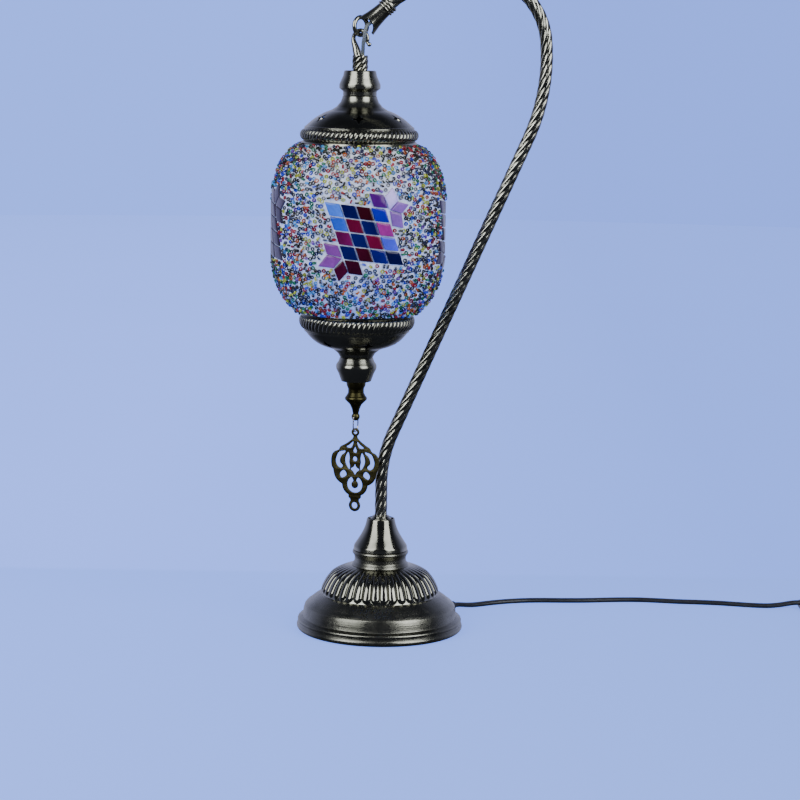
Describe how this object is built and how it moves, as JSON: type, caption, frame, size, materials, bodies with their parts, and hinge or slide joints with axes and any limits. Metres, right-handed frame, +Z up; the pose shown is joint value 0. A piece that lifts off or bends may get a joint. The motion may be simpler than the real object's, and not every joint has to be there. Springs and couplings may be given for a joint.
{
  "type": "mosaic glass table lamp",
  "caption": "Table lamp with a beaded mosaic glass globe lantern hung from a rope-twisted curved brass arm on a domed round base, with flex, switch and plug.",
  "frame": {"origin": "centre of the base's underside, on the table", "axes": "+Z up; +X to the side that the arm bows towards, with the lantern hanging at -X of the base's axis; -Y to the front"},
  "size_m": [0.5585, 0.1659, 0.5004],
  "materials": {
    "felt": "matte felt",
    "zinc_steel": "zinc plated",
    "cast_iron": "rough cast",
    "antique_brass": "spun, dark antique",
    "olive_brass": "cast, dark antique",
    "grey_pvc": "satin",
    "black_pvc": "satin",
    "black_rubber": "satin",
    "clear_glass": "clear",
    "bead_glass": "glossy beads in pale grout",
    "tile_glass": "glossy stained glass",
    "plaster": "matte",
    "black_plastic": "moulded",
    "porcelain": "glazed",
    "nickel": "nickel plated",
    "bulb_glass": "clear",
    "filament": "coated",
    "black_tie": "matte"
  },
  "bodies": {
    "stand": {"base_pad": "felt", "base_plate": "zinc_steel", "ballast_disc": "cast_iron", "base_skirt": "antique_brass", "fluted_dome": "antique_brass", "neck_collar": "antique_brass", "base_cone": "antique_brass", "tie_tube": "zinc_steel", "tie_washer": "zinc_steel", "tie_nut": "zinc_steel", "arm_coupler": "zinc_steel", "arm_collar": "olive_brass", "arm_tube": "antique_brass", "arm_lead": "grey_pvc", "arm_end_socket": "olive_brass", "arm_eye": "olive_brass", "base_lead": "black_pvc", "lead_clamp": "zinc_steel", "clamp_screws": "zinc_steel", "cord_bush": "black_rubber", "cord_run": "black_pvc", "cord_link": "black_pvc", "cord_tail": "black_pvc", "cord_coil": "black_pvc", "coil_tie": "black_tie", "switch_base": "black_plastic", "switch_cover": "black_plastic", "plug_body": "black_rubber", "plug_pins": "nickel"},
    "lantern": {"lantern_hook": "olive_brass", "twist_stem": "antique_brass", "top_cup": "antique_brass", "top_cap": "antique_brass", "holder_nipple": "zinc_steel", "cap_washer": "zinc_steel", "cap_nut": "zinc_steel", "globe_glass": "clear_glass", "bead_skin": "bead_glass", "tiles_front": "tile_glass", "tiles_right": "tile_glass", "tiles_back": "tile_glass", "tiles_left": "tile_glass", "plaster_top": "plaster", "plaster_bottom": "plaster", "bottom_holder": "antique_brass", "bottom_cup": "antique_brass", "finial": "olive_brass", "finial_rod": "zinc_steel", "finial_nut": "zinc_steel", "lamp_holder_cap": "black_plastic", "lamp_holder_sleeve": "black_plastic", "lamp_holder_core": "porcelain", "bulb_cap": "nickel", "bulb_glass": "bulb_glass", "bulb_stem": "filament", "lantern_lead": "grey_pvc", "hanging_lead": "grey_pvc"},
    "charm_link": {"charm_link": "olive_brass"},
    "charm": {"charm_plate": "olive_brass"},
    "rocker": {"switch_rocker": "black_plastic"}
  },
  "joints": [
    {"name": "lantern_swing", "type": "hinge", "parent": "stand", "child": "lantern", "pos_m": [-0.0202, 0, 0.4499], "axis": [0, 1, 0], "range_deg": [0, 20], "deforming": ["hanging_lead"]},
    {"name": "charm_link_swing", "type": "hinge", "parent": "lantern", "child": "charm_link", "pos_m": [-0.0202, 0, 0.164], "axis": [0.4067, 0.9135, 0], "range_deg": [-5, 20]},
    {"name": "charm_swing", "type": "hinge", "parent": "charm_link", "child": "charm", "pos_m": [-0.0202, 0, 0.1525], "axis": [0.9135, -0.4067, 0], "range_deg": [-25, 2]},
    {"name": "switch_rock", "type": "hinge", "parent": "stand", "child": "rocker", "pos_m": [0.368, 0.082, 0.014], "axis": [0, 1, 0], "range_deg": [0, 14]}
  ]
}
